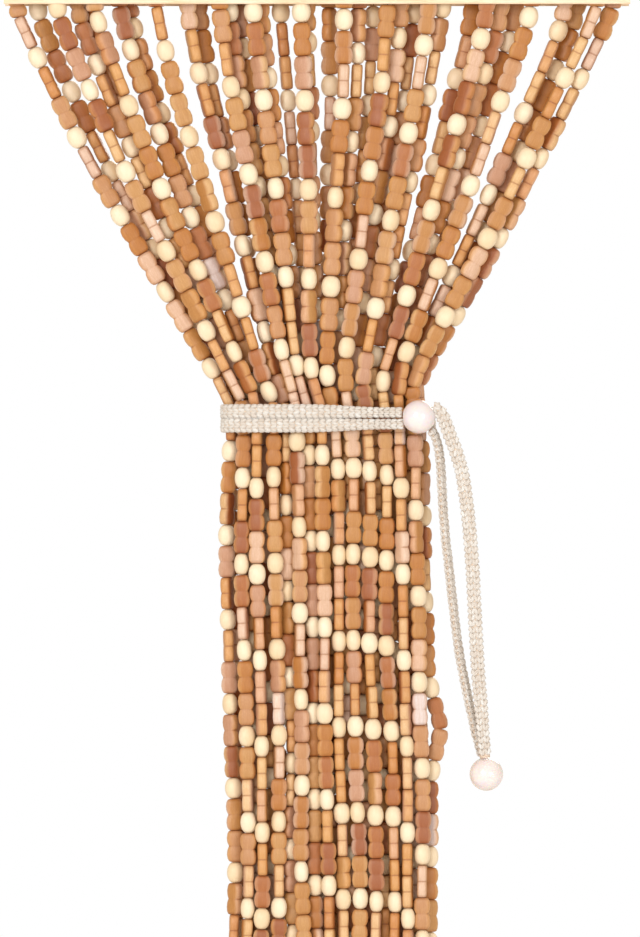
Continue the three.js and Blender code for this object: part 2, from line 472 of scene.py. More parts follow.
KNIT_TONES = tones((0.0, 211, 198, 185), (0.35, 221, 211, 202), (0.7, 227, 221, 215), (1.0, 236, 234, 232))
STRING_TONES = tones((0.0, 150, 104, 66), (1.0, 186, 138, 96))


def knit_core(tree):
    weave = noise(tree, object_place(tree), 900.0, 2.0)
    base = ramp(tree, weave, tones((0.3, 212, 190, 170), (0.7, 230, 212, 194)))
    return {"Base Color": base, "Normal": relief(tree, weave, 0.4), "Roughness": 0.8}


def pearl_coat(tree):
    cloud = noise(tree, object_place(tree), 70.0, 3.0)
    lustre = tones((0.3, 230, 217, 217), (0.45, 236, 229, 228), (0.55, 230, 221, 229), (0.7, 228, 222, 221))
    return {
        "Base Color": ramp(tree, cloud, lustre),
        "Roughness": remap(tree, cloud, (0.2, 0.3)),
        "Normal": relief(tree, cloud, 0.05),
        "Coat Weight": 0.7,
        "Coat Roughness": 0.08,
        "Subsurface Weight": 0.15,
        "Subsurface Scale": 0.004,
    }


def strip_tape(tree):
    threads = {"Vector": object_place(tree), "Scale": 180.0}
    warp, weft = (put(tree, "TexWave", threads, "Fac", bands_direction=way) for way in "XY")
    both = combined(tree, "MULTIPLY", warp, weft)
    base = ramp(tree, both, tones((0.0, 206, 176, 134), (1.0, 236, 214, 178)))
    return {"Base Color": base, "Normal": relief(tree, both, 0.5), "Roughness": 0.8}


KNIT_YARN = material("knit_yarn", yarn, stops=KNIT_TONES, bump=0.5)
STRING_YARN = material("string_yarn", yarn, stops=STRING_TONES, bump=0.4)
KNIT_CORE = material("knit_core", knit_core)
PEARL_COAT = material("pearl_coat", pearl_coat)
STRIP_TAPE = material("strip_tape", strip_tape)

# Knitted cord
STITCH = 4.4
# Place along a yarn grain and the grain's girth there, its sides and how flat it is.
GRAIN_FORM = ((-0.72, 0.72), (-0.28, 1.0), (0.28, 1.0), (0.72, 0.72))
GRAIN_SIDES = 6
GRAIN_FLAT = 0.8
# Where the legs of a stitch start and end across the cord, as shares of its half width.
LEGS = ((-0.93, -0.52), (-0.06, -0.42), (0.06, 0.42), (0.93, 0.52))
LEG = {"girth": 0.28, "sunk": 0.75, "inset": 0.5, "low": 0.84, "before": 0.25, "past": 0.5, "lift": 0.12}
EDGE_INSET = 0.85
RUNG = {"inset": 0.1, "radius": 1.1, "lift": 0.2}
CHAIN = {"reach": 2.6, "radius": 1.25, "lift": 0.05}
CORE = {"sides": 8, "in_width": 1.0, "in_thickness": 0.9, "tone": 0.3}
# The share of the map for the stitches, and the band at its right that holds the core and its ends.
STITCH_MAP, STITCH_MARGIN = 0.94, 0.08
CORE_MAP = (0.95, 0.045)
END_MAP = (0.955, 0.985)


def grains(starts, ends, radius, lift, normal, tone, rng):
    """Yarn grains, one for each start and end, arched outwards along normal by lift."""
    rings = len(GRAIN_FORM)
    quads, tris, quad_uv, tri_uv = barrel(rings, GRAIN_SIDES)
    count = len(starts)
    axis = unit(ends - starts)
    across = unit(np.cross(axis, normal))
    up = np.cross(across, axis)
    half = np.linalg.norm(ends - starts, axis=1)[:, None] / 2
    middle = (starts + ends) / 2
    verts = np.zeros((count, rings * GRAIN_SIDES + 2, 3))
    place = np.zeros_like(verts)
    for r, (share, girth) in enumerate(GRAIN_FORM):
        arch = middle + axis * half * share + up * (lift[:, None] * (1 - share * share))
        for s in range(GRAIN_SIDES):
            angle = 2 * math.pi * (s + 0.5) / GRAIN_SIDES
            c, d = math.cos(angle), math.sin(angle)
            k = r * GRAIN_SIDES + s
            verts[:, k] = arch + radius[:, None] * girth * (across * c + up * d * GRAIN_FLAT)
            place[:, k] = (c, d, share * 2)
    for tip, way in ((-2, -1), (-1, 1)):
        verts[:, tip] = middle + way * axis * half
        place[:, tip] = (0, 0, way * 2.4)
    place += rng.uniform(-40, 40, (count, 1, 3))
    first = (np.arange(count) * verts.shape[1])[:, None, None]
    faces = [(quads[None] + first).reshape(-1, 4), (tris[None] + first).reshape(-1, 3)]
    tone = np.repeat(tone, verts.shape[1])
    return verts.reshape(-1, 3), faces, (quad_uv, tri_uv), tone, place.reshape(-1, 3)


def stitches(line, ahead, wide, face, w, half_thickness, rungs, rng):
    """Start, end, radius, lift and normal of every grain: the legs on both faces, then both narrow edges."""
    found = []
    last = len(line) - 1
    for k in range(1, last, 2):
        a, b = max(k - 1, 0), min(k + 1, last)
        for side in (1, -1):
            for u0, u1 in LEGS:
                r = LEG["girth"] * w[k]
                out = side * (half_thickness - LEG["sunk"] * r)
                shift = rng.normal(0, 0.12, 3)
                start = line[a] + wide[a] * u0 * (w[a] - LEG["inset"]) + face[a] * out * LEG["low"]
                end = line[b] + wide[b] * u1 * (w[b] - LEG["inset"]) + face[b] * out
                start = start - ahead[a] * LEG["before"] + shift
                end = end + ahead[b] * LEG["past"] + shift
                found.append((start, end, r * rng.uniform(0.92, 1.06), LEG["lift"], face[k] * side))
        for side in (1, -1):
            edge = line[k] + wide[k] * side * (w[k] - EDGE_INSET)
            kind = RUNG if rungs else CHAIN
            reach = face[k] * (half_thickness - RUNG["inset"]) if rungs else ahead[k] * CHAIN["reach"]
            found.append((edge - reach, edge + reach, kind["radius"], kind["lift"], wide[k] * side))
    return [np.array(column) for column in zip(*found)]


def cord_core(line, wide, face, w, half_thickness):
    """The plain core under the stitches: its points, side faces, two ends and corner map."""
    sides = CORE["sides"]
    last = len(line) - 1
    angle = 2 * math.pi * np.arange(sides) / sides
    reach_w, reach_h = (w - CORE["in_width"])[:, None], half_thickness - CORE["in_thickness"]
    points = (
        line[:, None]
        + wide[:, None] * (np.cos(angle)[None] * reach_w)[..., None]
        + face[:, None] * (np.sin(angle) * reach_h)[None, :, None]
    )
    ends = np.array([list(range(sides))[::-1], [last * sides + s for s in range(sides)]])
    low, band = CORE_MAP
    corners = []
    for i in range(last):
        u0, u1 = i / last, (i + 1) / last
        for s in range(sides):
            v0, v1 = low + band * s / sides, low + band * (s + 1) / sides
            corners += [(u0, v0), (u0, v1), (u1, v1), (u1, v0)]
    for middle in END_MAP:
        corners += [(middle + 0.01 * math.cos(a), 0.5 + 0.01 * math.sin(a)) for a in angle]
    return points.reshape(-1, 3), ring_quads(len(line), sides), ends, corners


def knit_cord(name, line, width_way, half_width, half_thickness, seed, rungs):
    """A flat chain-knitted cord along line. width_way gives the direction of its width.

    Its narrow edges show the stitches' rungs, or one plain chain.
    """
    rng = np.random.default_rng(seed)
    line = resample(line, STITCH / 2)
    ahead = unit(np.gradient(line, axis=0))
    wide = np.asarray(width_way(line), float)
    wide = unit(wide - ahead * np.sum(wide * ahead, 1, keepdims=True))
    face = np.cross(ahead, wide)
    w = np.asarray([half_width(p) for p in line])
    shape = stitches(line, ahead, wide, face, w, half_thickness, rungs, rng)
    count = len(shape[0])
    grain_tones = np.clip(rng.normal(0.6, 0.17, count), 0, 1)
    verts, faces, maps, tone, place = grains(*shape, grain_tones, rng)
    core, core_quads, core_ends, core_map = cord_core(line, wide, face, w, half_thickness)
    origin, size = cells(count)
    spots = [origin[:, None] + size * inset(uv[None], STITCH_MARGIN) for uv in maps]
    uvs = [(spot * STITCH_MAP).reshape(-1, 2) for spot in spots]
    slots = np.concatenate([np.zeros(len(faces[0]) + len(faces[1])), np.ones(len(core_quads) + 2)])
    return build_mesh(
        name,
        np.vstack([verts, core]),
        faces + [len(verts) + core_quads, len(verts) + core_ends],
        (KNIT_YARN, KNIT_CORE),
        np.concatenate(uvs + [core_map]),
        slots,
        tone=np.concatenate([tone, np.full(len(core), CORE["tone"])]),
        grain_place=np.vstack([place, core]),
    )


# The tie's measures, and its two tails as followed in the photo
PEARL_RADIUS = 12.0
SLIDER = np.array([73.0, -30.0, -316.7])
END_PEARL = np.array([121.4, -28.0, -572.8])
TIE = {"z": -317.7, "middle": 8.0, "half_width": 75.4, "half_depth": 23.2, "power": 4.0, "sunk": 0.1}
# Where the runs leave the slider, from its surface and from its middle, and how far they part there.
TIE_EXIT, TIE_PARTS = (5, 1.5), 0.55
CORD = {"half_width": 5.1, "at_pearl": 3.7, "half_thickness": 2.2, "squeeze": (25.0, 80.0)}
TAIL = {"half_thickness": 2.45, "right": 5.1, "narrower": 0.7, "from": -520, "over": 40, "left": 4.5}
RIGHT_TAIL = [
    (73, -30, -316.7), (79, -31, -311.5), (84.5, -31.4, -310.6), (89, -31.6, -314.5), (92, -31.6, -321),
    (95.2, -31.6, -330), (98.6, -31.6, -338.5), (101.3, -31.6, -347), (104, -31.6, -357),
    (106.6, -31.6, -374), (108.6, -31.6, -391), (110.2, -31.6, -408.5), (111.5, -31.6, -426),
    (112.4, -31.6, -444), (113.3, -31.6, -462), (114.3, -31.6, -480), (115.3, -31.6, -497),
    (116.5, -31.6, -513), (118, -31.6, -530), (119.2, -31.6, -546), (120.4, -31.4, -558),
    (121.4, -31.2, -571),
]  # fmt: skip
LEFT_TAIL = [
    (73, -30, -316.7), (78.5, -28.4, -322.3), (83.6, -26.6, -328.5), (86.4, -25.2, -336), (88, -24.4, -345),
    (89, -24.3, -355), (89.8, -24.3, -371), (91, -24.3, -390), (93, -24.3, -411), (95.6, -24.3, -433),
    (98.2, -24.3, -456), (101, -24.3, -479), (103.6, -24.3, -495), (106.6, -24.3, -510),
    (109.6, -24.3, -524), (112.4, -24.3, -537), (115.4, -24.3, -549), (118.2, -24.2, -559),
    (121.4, -24.1, -571),
]  # fmt: skip


def outside_pearls(line, clearance):
    """The stretch of line between the two pearls."""
    keep = np.linalg.norm(line - SLIDER, axis=1) > PEARL_RADIUS + clearance
    keep &= np.linalg.norm(line - END_PEARL, axis=1) > PEARL_RADIUS + clearance
    return line[keep]


def make_tail(name, route, width_way, half_width, seed):
    """One tail, and its middle line in metres from the slider to the end pearl."""
    line = outside_pearls(smooth_line(route, 0.5), 0.0)
    piece = knit_cord(name, line, width_way, half_width, TAIL["half_thickness"], seed, True)
    return piece, resample(line, 4.0) * MM


def right_half_width(point):
    share = min(1.0, max(0.0, (TAIL["from"] - point[2]) / TAIL["over"]))
    return TAIL["right"] - TAIL["narrower"] * share


def flat_to_front(line):
    return np.cross(np.gradient(line, axis=0), (0, 1, 0))


def steady(*way):
    """A cord's width lies the same way all along it."""
    return lambda line: np.tile(way, (len(line), 1))


tail_right, right_path = make_tail("knit_tail_right", RIGHT_TAIL, flat_to_front, right_half_width, 21)
part_edge_on = steady(0.4, 0.92, 0.0)
tail_left, left_path = make_tail("knit_tail_left", LEFT_TAIL, part_edge_on, lambda point: TAIL["left"], 22)

# Pearls
PEARL_RINGS, PEARL_SIDES, PEARL_MARGIN = 30, 40, 0.02
HOLE = {"deep": 1.3, "degrees": 24, "round": 1.5}


def make_pearl(name, centre, entries):
    """A glossy pearl with a small rimmed hole at each entry direction."""
    tilt = math.pi * np.arange(PEARL_RINGS - 1, 0, -1)[:, None] / PEARL_RINGS
    turn = 2 * math.pi * np.arange(PEARL_SIDES)[None] / PEARL_SIDES
    rings = (np.sin(tilt) * np.cos(turn), np.sin(tilt) * np.sin(turn), np.cos(tilt))
    rings = np.stack(np.broadcast_arrays(*rings), 2)
    co = np.vstack([rings.reshape(-1, 3), [(0, 0, -1), (0, 0, 1)]])
    quads, tris, quad_uv, tri_uv = barrel(PEARL_RINGS - 1, PEARL_SIDES)
    radius = np.full(len(co), PEARL_RADIUS)
    for entry in entries:
        away = np.degrees(np.arccos(np.clip(co @ unit(np.array(entry, float)), -1, 1)))
        radius -= HOLE["deep"] * np.clip(1 - away / HOLE["degrees"], 0, 1) ** HOLE["round"]
    uvs = inset(np.vstack([quad_uv, tri_uv]), PEARL_MARGIN)
    return build_mesh(name, co * radius[:, None] + centre, [quads, tris], [PEARL_COAT], uvs)


from_tie = (-1, 0.1, 0)
slider_entries = [from_tie] + [path[0] / MM - SLIDER for path in (right_path, left_path)]
end_entries = [path[-1] / MM - END_PEARL for path in (right_path, left_path)]
slider = make_pearl("pearl_slider", SLIDER, slider_entries)
ender = make_pearl("pearl_end", END_PEARL, end_entries)
belongs(slider, "slider_pearl")
belongs(ender, "end_pearl")
for piece, node, path in ((tail_right, "tail_right", right_path), (tail_left, "tail_left", left_path)):
    belongs(piece, node)

# The tie round the bundle
# The angle where its way round the bundle starts, how far it turns, and its steps.
TIE_START, TIE_TURN = math.pi * 1.573, -math.pi * 1.659
TIE_STEPS = 40


def cord_half_width(point):
    """The cord is squeezed narrower towards the slider."""
    away = math.hypot(point[0] - SLIDER[0], point[1] - SLIDER[1])
    low, high = CORD["squeeze"]
    share = min(max((away - low) / (high - low), 0), 1)
    share = share * share * (3 - 2 * share)
    return CORD["at_pearl"] + (CORD["half_width"] - CORD["at_pearl"]) * share


def squared(value, power):
    """A sine or cosine made squarer, so that a round becomes a rounded box."""
    return math.copysign(abs(value) ** (2 / power), value)


def tie_line(side):
    """The way of the upper or lower run from the slider round the bundle and back."""
    plan = [SLIDER, (SLIDER[0] - PEARL_RADIUS - TIE_EXIT[0], SLIDER[1] + TIE_EXIT[1], 0)]
    for i in range(TIE_STEPS + 1):
        angle = TIE_START + TIE_TURN * i / TIE_STEPS
        x = TIE["middle"] + TIE["half_width"] * squared(math.cos(angle), TIE["power"])
        plan.append((x, TIE["half_depth"] * squared(math.sin(angle), TIE["power"]), 0))
    plan.append(SLIDER)
    points = []
    for p in plan:
        half = cord_half_width(p)
        loose = (CORD["half_width"] - half) / (CORD["half_width"] - CORD["at_pearl"])
        points.append((p[0], p[1], TIE["z"] + side * (half - TIE["sunk"] + TIE_PARTS * loose)))
    return outside_pearls(smooth_line(points, 0.5), 0.1)


upright = steady(0.0, 0.0, 1.0)
for end, side, seed in (("upper", 1, 31), ("lower", -1, 32)):
    made = (tie_line(side), upright, cord_half_width, CORD["half_thickness"], seed, False)
    belongs(knit_cord("knit_tie_" + end, *made), "tie_" + end)

# Where the strands run
STRIP_BOTTOM = -12.1
ROW_AT_RAIL, ROW_IN_BUNDLE = 9.0, 11.0
ROW_ORDER = (0, 1, -1)
STRAND_LENGTH = 1223.0
# The strands at the rail stand in clusters: from, to and how many.
CLUSTERS = [
    (-218, -174, 4), (-168, -161, 2), (-143, -136, 2), (-116, -116, 1), (-94, -86, 2), (-71, -7, 8),
    (9, 30, 3), (41, 91, 6), (113, 155, 5), (181, 181, 1), (190, 214, 3),
]  # fmt: skip
# Depth below the rail, half the pitch of a row, the bundle's middle.
BUNDLE = np.array([
    (272, 5.8, 1.5), (286, 5.6, 7.6), (309, 5.6, 7.6), (334, 5.76, 8.4), (472, 5.76, 9.4), (497, 5.76, 10),
    (520, 5.76, 10.6), (542, 5.76, 11.2), (567, 5.76, 11.8), (642, 5.78, 12.8), (902, 5.85, 13),
    (1300, 5.9, 13),
])  # fmt: skip
FAN_BOW = 1.1
STEP, LOWEST = 2.0, 1240
SMOOTHING = 15
# How far down a strand starts towards its own depth and over how much, and over how much it starts to sway.
GOES_BACK, CALM = (180, 120), 60
# The strand at the right that bulges out of the bundle below the tie.
STRAY = {"reach": 10.0, "depth": 520.0, "spread": 24.0, "steady": 50}
# How far a strand stands to the right of its even place at the rail.
SHIFT = {11: 0.7, 12: -2.0, 13: -4.0, 14: -3.0, 15: -6.5, 16: -1.4, 17: 4.6, 18: -0.7, 33: -1.0}

RAIL_X = [a + (b - a) * (i / (n - 1) if n > 1 else 0) for a, b, n in CLUSTERS for i in range(n)]
STRANDS = len(RAIL_X)
ROW = [ROW_ORDER[i % 3] for i in range(STRANDS)]
COLUMN = [2 * (i // 3) + (1 if i % 3 else 0) - (STRANDS - 1) / 3 for i in range(STRANDS)]
# Picture columns of the strands whose place in the bundle can be seen.
SEEN_AT = {
    0: 227.5, 1: 234.25, 2: 243.5, 5: 256.75, 8: 276.0, 9: 288.75, 11: 300.5, 14: 312.75, 17: 325.5,
    20: 340.0, 23: 357.0, 26: 374.5, 29: 393.75, 32: 408.25, 35: 423.75,
}  # fmt: skip
# How firmly a strand is held there, one that is seen less clearly, and a hidden one aside and in depth.
FIRM, LOOSE, UNSEEN = 0.3, 0.1, (0.02, 0.03)
LOOSE_STRAND = 1
FORWARD_STRAND, FORWARD = 9, -7.0
# The pitch and middle of the even places, the room that a strand needs, and the bundle's front and back.
EVEN = {"pitch": 6.0, "middle": 10.9, "room": 11.6, "front": -13.5, "back": 15.5, "rounds": 6000}
EASE, PUSH = 0.5, 0.35
# Strands set one by one instead, to the right of their even place.
BY_EYE = {7: 0.8, 10: -1.0}


def push_apart():
    """How far aside and back each strand hangs: those that the photo shows are held, the rest make room."""
    even = np.stack([EVEN["middle"] + EVEN["pitch"] * np.array(COLUMN), ROW_IN_BUNDLE * np.array(ROW)], 1)
    wanted, pull = even.copy(), np.tile(UNSEEN, (STRANDS, 1))
    for i, column in SEEN_AT.items():
        wanted[i, 0] = (column - AXIS_COLUMN) * PIXEL
        pull[i, 0] = LOOSE if i == LOOSE_STRAND else FIRM
    wanted[FORWARD_STRAND, 1], pull[FORWARD_STRAND, 1] = FORWARD, LOOSE
    place = wanted + np.random.default_rng(3).normal(0, 0.2, wanted.shape)
    far = np.eye(STRANDS) * 99
    for _ in range(EVEN["rounds"]):
        place += pull * (wanted - place) * EASE
        apart = place[:, None] - place[None]
        gap = np.hypot(apart[..., 0], apart[..., 1]) + far
        place += ((apart / gap[..., None]) * np.clip(EVEN["room"] - gap, 0, None)[..., None] * PUSH).sum(1)
        place[:, 1] = np.clip(place[:, 1], EVEN["front"], EVEN["back"])
    found = place - even
    for i, aside in BY_EYE.items():
        found[i] = (aside, 0.0)
    return found


NUDGE = push_apart()
SWAY = np.random.default_rng(7)
# Lengths and heights of a strand's own slow waves, two sideways and two in depth.
WAVES = np.array((430, 170, 390, 150))
WAVE_HEIGHTS = (0.45, 0.25, 0.4, 0.2)
# Length, height and lag from strand to strand of the waves that all share.
SHARED_WAVES = ((310, 0.9, 0.33), (140, 0.4, -0.5))


def strand_line(i):
    """Dense points down strand i, from the strip, and how far along it each is from the rail's lower edge."""
    depth = np.arange(0, LOWEST, STEP)
    top_depth, top_pitch, top_middle = BUNDLE[0]
    aside, back = NUDGE[i]
    gather = top_middle + COLUMN[i] * top_pitch + aside
    share = np.clip(depth / top_depth, 0, 1)
    start = RAIL_X[i] + SHIFT.get(i, 0.0)
    fan = start + (gather - start) * share**FAN_BOW
    pitch, middle = (np.interp(depth, BUNDLE[:, 0], BUNDLE[:, k]) for k in (1, 2))
    x = np.where(depth < top_depth, fan, middle + COLUMN[i] * pitch + aside)
    kernel = np.hanning(SMOOTHING)
    x = np.convolve(np.pad(x, SMOOTHING // 2, "edge"), kernel / kernel.sum(), "valid")
    y = ROW[i] * (ROW_AT_RAIL + (ROW_IN_BUNDLE - ROW_AT_RAIL) * share)
    y = y + back * np.clip((depth - GOES_BACK[0]) / GOES_BACK[1], 0, 1)
    phase = SWAY.uniform(0, 2 * math.pi, 4)
    turns = depth[:, None] / (SWAY.uniform(0.8, 1.2, 4) * WAVES) * 2 * math.pi + phase
    first, second, third, fourth = (h * np.sin(turns[:, k]) for k, h in enumerate(WAVE_HEIGHTS))
    calm = np.clip(depth / CALM, 0, 1)
    one, two = (h * np.sin(depth / wave * 2 * math.pi + lag * COLUMN[i]) for wave, h, lag in SHARED_WAVES)
    x = x + calm * (one + two + first + second)
    y = y + calm * (third + fourth)
    if i == STRANDS - 1:
        x = x + STRAY["reach"] * np.exp(-(((depth - STRAY["depth"]) / STRAY["spread"]) ** 2))
    below = np.stack([x, y, RAIL_EDGE - depth], 1)
    line = np.vstack([[(x[0], y[0], STRIP_BOTTOM)], below])
    along = lengths(line)
    return line, along - along[1]


LINES = [strand_line(i) for i in range(STRANDS)]


def at(i, where):
    line, along = LINES[i]
    return np.array([np.interp(where, along, line[:, k]) for k in range(3)])


def down_to(i, z):
    """Distance along strand i at which it reaches height z."""
    line, along = LINES[i]
    return float(np.interp(-z, -line[:, 2], along))


# The order of the beads
GOURD, OVAL = 0, 1
REPEAT = {"fan": 64.1, "bundle": 61.9}
BEAD_LENGTH = {"fan": {GOURD: 23.9, OVAL: 15.9}, "bundle": {GOURD: 23.1, OVAL: 15.5}}
# First pale bead of each strand, in picture pixels along it, and what is added to them all.
FAN_START = [
    54, 1, 0, 60, 48, 15, 43, 20, 44, 66, 66, 80, 3, 40, 4, 70, 3, 4, 34,
    77, 12, 45, 8, 75, 30, 4, 38, -1, 72, 32, 68, 34, 10, 24, 66, 77, 78,
]  # fmt: skip
FAN_ADDED = 3.3
# A pale bead of each strand in the bundle, as a picture row.
BUNDLE_START = [
    451, 500, 478, 470, 455, 488, 520, 480, 477, 505, 462, 441, 500, 498, 455, 474, 510, 541, 440, 490,
    469, 512, 470, 468, 447, 505, 471, 521, 445, 475, 480, 460, 488, 514, 450, 510, 516,
]  # fmt: skip
# How long a strand's beads are beside the others', where that differs below the tie.
STRETCH = {0: 0.981, 29: 0.992}
# The heights between which the tie hides the beads.
BAND = (-306.6, -326.0)
# One bead fills a gap up to the first length here, two up to the second, three a longer one.
FILLER_ROOM = (27, 53.4)
FILLER_LONGEST = 25.0
SMALLEST_TOP_ROOM = 8.5


def repeats(zone, middle, low, high, stretch=1.0):
    """Beads of one zone that lie between low and high, where a pale bead has that middle."""
    size = {kind: length * stretch for kind, length in BEAD_LENGTH[zone].items()}
    repeat = REPEAT[zone] * stretch
    gap = (repeat - size[OVAL] - 2 * size[GOURD]) / 3
    first = size[OVAL] / 2 + gap + size[GOURD] / 2
    pattern = ((OVAL, 0.0), (GOURD, first), (GOURD, first + size[GOURD] + gap))
    found = []
    for count in range(math.floor((low - middle) / repeat) - 1, math.ceil((high - middle) / repeat) + 1):
        for kind, shift in pattern:
            where = middle + count * repeat + shift
            if low <= where - size[kind] / 2 and where + size[kind] / 2 <= high:
                found.append((kind, where, size[kind]))
    return found


def bead_order(i):
    """(kind, middle, length) of each bead of strand i, from the strip down."""
    roof = RAIL_EDGE - STRIP_BOTTOM
    upper = repeats("fan", (FAN_START[i] + FAN_ADDED) * PIXEL, roof - 0.2, down_to(i, BAND[0]))
    middle = down_to(i, RAIL_EDGE - (BUNDLE_START[i] - EDGE_ROW) * PIXEL)
    lower = repeats("bundle", middle, down_to(i, BAND[1]), STRAND_LENGTH - 5, STRETCH.get(i, 1.0))
    filler = []
    room = upper[0][1] - upper[0][2] / 2 - roof
    if room > SMALLEST_TOP_ROOM:
        filler.append((GOURD, roof + room / 2, room - 0.2))
    start = upper[-1][1] + upper[-1][2] / 2
    room = lower[0][1] - lower[0][2] / 2 - start
    count = 1 + sum(room > longest for longest in FILLER_ROOM)
    for k in range(count):
        filler.append((GOURD, start + room * (k + 0.5) / count, min(room / count - 0.1, FILLER_LONGEST)))
    return upper + filler + lower


# Bead forms
SIDES = 12


def mirrored(half):
    """A form that is alike on both sides of its middle, from one half with the middle."""
    return np.array(half + [(-share, wide, thick) for share, wide, thick in half[-2::-1]])


# Place from one end, -1, to the middle, 0, with the half width and half thickness there.
GOURD_HALF = [
    (-1.0, 3.4, 3.0), (-0.95, 4.75, 3.65), (-0.8, 5.8, 3.9), (-0.52, 6.35, 3.95), (-0.24, 5.95, 3.9),
    (-0.08, 5.15, 3.8), (0.0, 4.7, 3.7),
]  # fmt: skip
OVAL_HALF = [
    (-1.0, 1.7, 1.6), (-0.94, 3.1, 2.9), (-0.8, 4.55, 4.2), (-0.58, 5.7, 5.1), (-0.3, 6.4, 5.65),
    (0.0, 6.65, 5.8),
]  # fmt: skip
FORM = {GOURD: mirrored(GOURD_HALF), OVAL: mirrored(OVAL_HALF)}
# How square the cross-section is, with 2 for an oval one, and the rings tested for meetings.
POWER = {GOURD: 3.8, OVAL: 2.1}
TEST_RINGS = {GOURD: [2, 3, 4, 8, 9, 10], OVAL: [2, 3, 5, 7, 8]}
# How much broader or slimmer the beads are, how far above the tie the slim ones begin, and the spread.
GROWTH = {"fan": 1.04, "bundle": 0.94, "above_band": 60, GOURD: (0.97, 1.02), OVAL: (0.95, 1.02)}
# Painted shade at a bead's end, on its rim and in the gourd's groove, there with what its edge adds.
SHADE_STRENGTH = {"end": 1.0, "rim": 0.4, "groove": 0.12, "edge": 0.78}


def bead_template(kind):
    """Local points of one bead with its length as 2 along Z, its masks of painted sheen and painted shade,
    and its faces.
    """
    form = FORM[kind]
    angle = 2 * math.pi * (np.arange(SIDES) + 0.5) / SIDES
    c, s = np.cos(angle), np.sin(angle)
    power = 2 / POWER[kind]
    cx, sy = np.sign(c) * np.abs(c) ** power, np.sign(s) * np.abs(s) ** power
    points, side, stain = [], [], []
    for share, wide, thick in form:
        for k in range(SIDES):
            points.append((cx[k] * wide, sy[k] * thick, share))
            # The side walls, which a painted sheen makes paler.
            side.append(min(1.0, max(0.0, (abs(c[k]) - 0.45) / 0.5)))
            # Painted shade at the ends and rims where beads meet, and in the gourd's groove, deeper on the
            # side walls.
            stain.append(SHADE_STRENGTH["end"] if abs(share) > 0.99 else SHADE_STRENGTH["rim"] if abs(share) > 0.93 else 0.0)
            if kind == GOURD and abs(share) < 0.01:
                stain[-1] = SHADE_STRENGTH["groove"] + SHADE_STRENGTH["edge"] * side[-1]
    points += [(0, 0, form[0][0]), (0, 0, form[-1][0])]
    side += [0.0, 0.0]
    stain += [SHADE_STRENGTH["end"]] * 2
    return np.array(points), np.array(side), np.array(stain), barrel(len(form), SIDES)


TEMPLATE = {kind: bead_template(kind) for kind in (GOURD, OVAL)}


def samples(kind):
    """A few surface points of a bead, for the test of how deep two beads meet."""
    rings = TEMPLATE[kind][0][:-2].reshape(-1, SIDES, 3)
    return rings[TEST_RINGS[kind]].reshape(-1, 3)


SAMPLES = {kind: samples(kind) for kind in (GOURD, OVAL)}


class Bead:
    """One placed bead: its kind, middle, half length, axes and surface points."""

    def __init__(self, strand, kind, where, length):
        self.strand, self.kind, self.half = strand, kind, length / 2
        top, bottom = at(strand, where - self.half), at(strand, where + self.half)
        self.middle = (top + bottom) / 2
        self.axis = unit(top - bottom)
        self.depth = where
        in_fan = self.middle[2] > BAND[0] + GROWTH["above_band"]
        self.grow = GROWTH["fan" if in_fan else "bundle"]

    def turned(self, turn):
        across = np.array([math.cos(turn), math.sin(turn), 0.0])
        across = unit(across - self.axis * (across @ self.axis))
        return np.stack([across, np.cross(self.axis, across), self.axis])

    def place(self, local, axes):
        return self.middle + local * np.array([self.grow, self.grow, self.half]) @ axes

    def may_meet(self, other):
        aside, back, down = np.abs(other.middle - self.middle)
        overlap = other.half + self.half - 0.3
        return other.strand != self.strand and max(aside, back) < NEAR and down < overlap


def depth_in(bead, axes, points):
    """How far the deepest of the points lies inside the bead, in millimetres."""
    local = (points - bead.middle) @ axes.T
    form = FORM[bead.kind]
    share = local[:, 2] / bead.half
    wide, thick = (np.interp(share, form[:, 0], form[:, k]) for k in (1, 2))
    power = POWER[bead.kind]
    value = (np.abs(local[:, 0]) / wide) ** power + (np.abs(local[:, 1]) / thick) ** power
    level = 1 - value ** (1 / power)
    inside = np.where(np.abs(share) < 1, level * thick, 0)
    return max(float(inside.max()), 0.0)


# The share of the beads that face the front, that of the slanted ones, and how many turns are tried.
FACING = {"fan": 0.62, "bundle": 0.58, "slanted": 0.14, "tries": 9}
# Spread of the turns, in radians, and how near the tie the edge strands stand edge on.
TURN = {"broad": 0.16, "slanted": (0.5, 1.0), "edge_on": 0.14, "at_rail": 0.04, "stray": 0.1}
TIE_REACH = 10
# Share of the beads above the tie that face the front, on strands that show their edges more.
NARROW = {16: 0.15, 33: 0.2, 3: 0.45, 36: 0.4}
EDGE_ON = math.pi / 2
# Beads closer than this can meet, and a meeting shallower than this is let be.
NEAR, CLEAR = 14, 0.45


def turns_to_try(bead, rng):
    """Turns of a bead: most have a broad face to the front, some are slanted, the rest edge on."""
    broad = NARROW.get(bead.strand, FACING["fan"]) if bead.middle[2] > BAND[0] else FACING["bundle"]
    turns = []
    for _ in range(FACING["tries"]):
        roll = rng.random()
        if roll < broad:
            turns.append(rng.gauss(0, TURN["broad"]))
        elif roll < broad + FACING["slanted"]:
            turns.append(rng.choice((-1, 1)) * rng.uniform(*TURN["slanted"]))
        else:
            turns.append(EDGE_ON + rng.gauss(0, TURN["edge_on"]))
    turns += [0.0, EDGE_ON]
    edge_strand = bead.strand in (0, STRANDS - 1)
    if bead.depth - bead.half < 1:
        turns = [rng.gauss(0, TURN["at_rail"])]
    if bead.strand == STRANDS - 1 and abs(bead.depth - STRAY["depth"]) < STRAY["steady"]:
        turns = [TURN["stray"]]
    if edge_strand and BAND[1] - TIE_REACH < bead.middle[2] < BAND[0] + TIE_REACH:
        turns = [EDGE_ON]
    return turns


